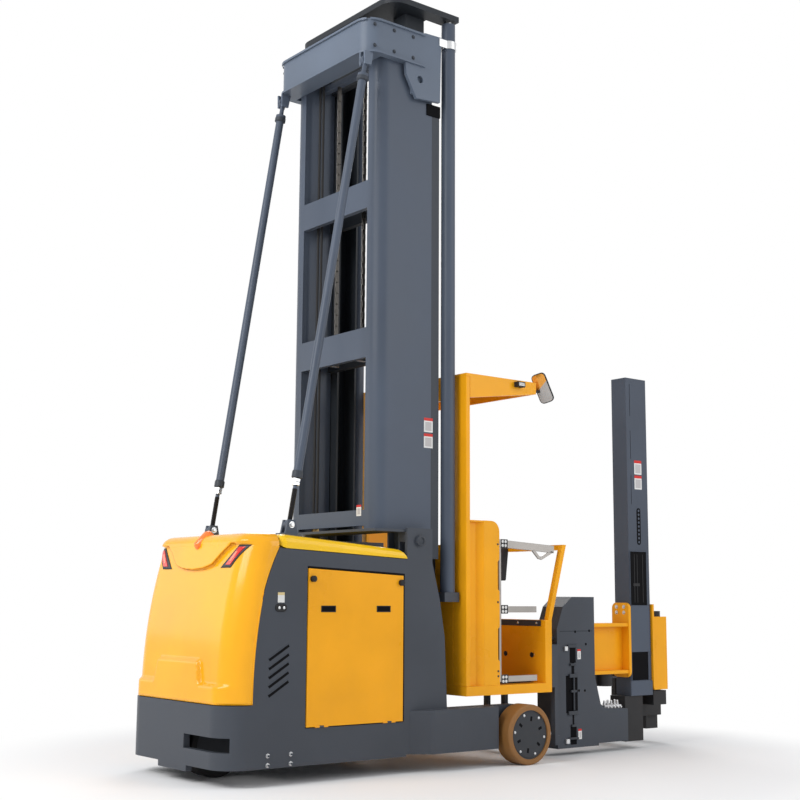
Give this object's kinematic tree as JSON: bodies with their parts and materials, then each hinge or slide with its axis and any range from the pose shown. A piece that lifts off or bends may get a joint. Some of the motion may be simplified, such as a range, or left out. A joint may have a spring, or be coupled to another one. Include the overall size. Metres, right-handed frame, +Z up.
{
  "type": "very narrow aisle truck",
  "caption": "Man-up very narrow aisle truck with a tall two-stage mast, lifting cab, traversing carriage and a turning fork head on its own short mast.",
  "frame": {"origin": "on the floor under the middle of the truck's outline", "axes": "+X ahead towards the fork head, +Y to the driver's left, +Z up"},
  "size_m": [3.979, 1.44, 4.99],
  "materials": {
    "grey_paint": "semi-gloss blue-grey paint",
    "yellow_paint": "gloss amber-yellow paint",
    "battery_case": "matt case",
    "bare_steel": "machined",
    "zinc": "zinc plated",
    "tyre_amber": "cast polyurethane",
    "hub_paint": "painted casting",
    "black_paint": "satin black paint",
    "black_plastic": "moulded",
    "aluminium_bar": "brushed"
  },
  "bodies": {
    "chassis": {"chassis_frame": "grey_paint", "rear_bumper": "grey_paint", "rear_hood": "yellow_paint", "deck_cover": "yellow_paint", "battery": "battery_case", "load_arms": "grey_paint", "load_axles": "bare_steel", "outer_mast": "grey_paint", "mast_head": "grey_paint", "mast_shoulders": "grey_paint", "mast_stays": "grey_paint", "stay_lugs": "grey_paint", "lift_barrels": "grey_paint", "barrel_brackets": "grey_paint", "barrel_clamps": "zinc"},
    "steer_unit": {"steer_yoke": "hub_paint", "drive_motor": "black_paint"},
    "drive_wheel": {"drive_tyre": "tyre_amber", "drive_hub": "hub_paint"},
    "load_wheel_right": {"load_tyre_right": "tyre_amber", "load_hub_right": "hub_paint"},
    "load_wheel_left": {"load_tyre_left": "tyre_amber", "load_hub_left": "hub_paint"},
    "door_right": {"battery_door_right": "yellow_paint"},
    "door_left": {"battery_door_left": "yellow_paint"},
    "mast_stage": {"inner_mast": "grey_paint", "guide_rollers": "bare_steel", "lift_rods": "bare_steel"},
    "cab": {"cab_floor": "yellow_paint", "cab_posts": "yellow_paint", "cab_rear_wall": "yellow_paint", "cab_roof": "yellow_paint", "cab_front_wall": "yellow_paint", "cab_front_rail": "yellow_paint", "control_console": "black_plastic", "cab_carriage": "grey_paint", "cab_rollers": "bare_steel", "work_lamp": "black_plastic", "cab_mirror": "black_plastic", "traverse_frame": "grey_paint"},
    "gate_right_body": {"gate_right": "aluminium_bar"},
    "gate_left_body": {"gate_left": "aluminium_bar"},
    "traverse": {"traverse_carriage": "grey_paint", "traverse_rollers": "bare_steel", "mast_bracket": "yellow_paint", "bracket_boss": "black_paint", "mast_pedestal": "black_paint", "fork_mast": "black_paint"},
    "fork_carriage": {"lift_carriage": "yellow_paint"},
    "fork_head": {"turn_shaft": "black_paint", "fork_bar": "black_paint", "fork_rear": "black_paint", "fork_front": "black_paint"}
  },
  "joints": [
    {"name": "steering", "type": "hinge", "parent": "chassis", "child": "steer_unit", "pos_m": [-1.72, 0, 0.3], "axis": [0, 0, 1], "range_deg": [-90, 90]},
    {"name": "drive_spin", "type": "hinge", "parent": "steer_unit", "child": "drive_wheel", "pos_m": [-1.72, 0, 0.18], "axis": [0, 1, 0], "continuous": true},
    {"name": "load_spin_right", "type": "hinge", "parent": "chassis", "child": "load_wheel_right", "pos_m": [0.205, -0.65, 0.19], "axis": [0, 1, 0], "continuous": true},
    {"name": "load_spin_left", "type": "hinge", "parent": "chassis", "child": "load_wheel_left", "pos_m": [0.205, 0.65, 0.19], "axis": [0, 1, 0], "continuous": true},
    {"name": "door_swing_right", "type": "hinge", "parent": "chassis", "child": "door_right", "pos_m": [-1.0865, -0.58, 0.313], "axis": [1, 0, 0], "range_deg": [0, 90]},
    {"name": "door_swing_left", "type": "hinge", "parent": "chassis", "child": "door_left", "pos_m": [-1.0865, 0.58, 0.313], "axis": [-1, 0, 0], "range_deg": [0, 90]},
    {"name": "mast_lift", "type": "slide", "parent": "chassis", "child": "mast_stage", "axis": [0, 0, 1], "range_m": [0, 3.4]},
    {"name": "cab_lift", "type": "slide", "parent": "mast_stage", "child": "cab", "axis": [0, 0, 1], "range_m": [0, 3.4]},
    {"name": "gate_swing_right", "type": "hinge", "parent": "cab", "child": "gate_right_body", "pos_m": [0.0673, -0.582, 1], "axis": [0, 0, 1], "range_deg": [0, 90]},
    {"name": "gate_swing_left", "type": "hinge", "parent": "cab", "child": "gate_left_body", "pos_m": [0.0673, 0.582, 1], "axis": [0, 0, -1], "range_deg": [0, 90]},
    {"name": "traverse_slide", "type": "slide", "parent": "cab", "child": "traverse", "axis": [0, 1, 0], "range_m": [0, 0.8]},
    {"name": "fork_lift", "type": "slide", "parent": "traverse", "child": "fork_carriage", "axis": [0, 0, 1], "range_m": [0, 1.6]},
    {"name": "fork_turn", "type": "hinge", "parent": "fork_carriage", "child": "fork_head", "pos_m": [1.765, -0.405, 0.6], "axis": [0, 0, 1], "range_deg": [-180, 0]}
  ],
  "couplings": [
    {"joint": "cab_lift", "follows": "mast_lift", "ratio": 1}
  ]
}
